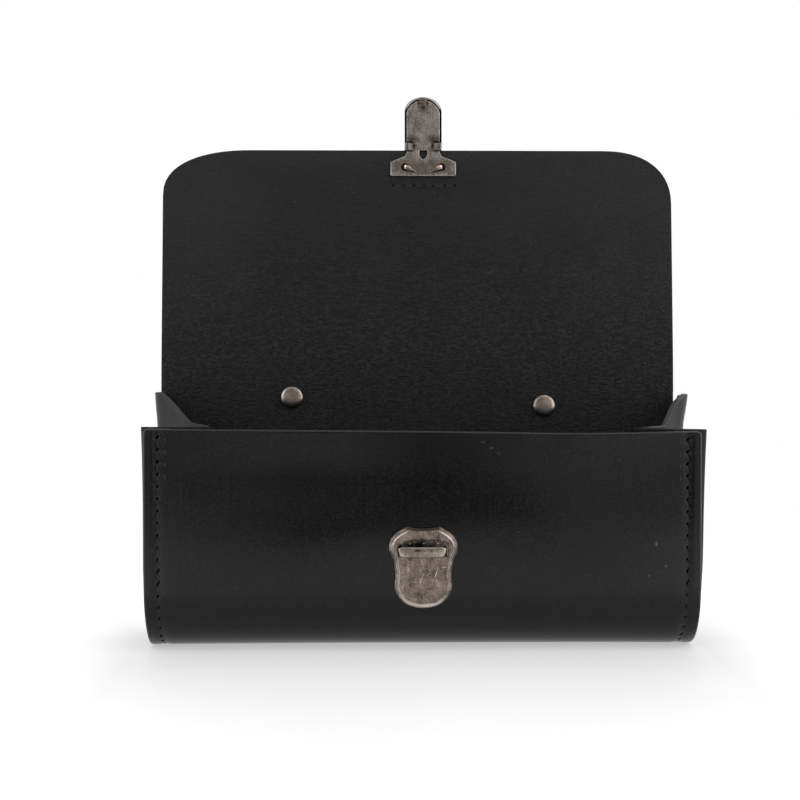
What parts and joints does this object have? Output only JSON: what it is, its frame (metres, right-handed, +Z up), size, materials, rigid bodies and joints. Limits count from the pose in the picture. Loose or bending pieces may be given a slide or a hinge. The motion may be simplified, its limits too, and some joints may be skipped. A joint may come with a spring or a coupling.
{
  "type": "saddle bag",
  "caption": "Black leather saddle bag standing open, its flap raised, with folded end walls and a nickel tuck clasp",
  "frame": {"origin": "on the surface the bag stands on, halfway across its width and halfway from front to back", "axes": "+X to the right as seen from the front, +Y from the front to the back, +Z up"},
  "size_m": [0.2583, 0.0849, 0.2598],
  "materials": {
    "body_leather": "satin, finely grained",
    "gusset_leather": "satin, finely grained",
    "antique_nickel": "antique nickel, scratched",
    "worn_nickel": "antique nickel, worn bright"
  },
  "bodies": {
    "root": {"bag_body": "body_leather", "gusset_left": "gusset_leather", "gusset_right": "gusset_leather", "catch_plate": "antique_nickel", "catch_bridge": "worn_nickel", "clasp_cover": "antique_nickel", "clasp_back_plate": "antique_nickel", "rivet_left": "worn_nickel", "rivet_right": "worn_nickel"}
  },
  "joints": []
}
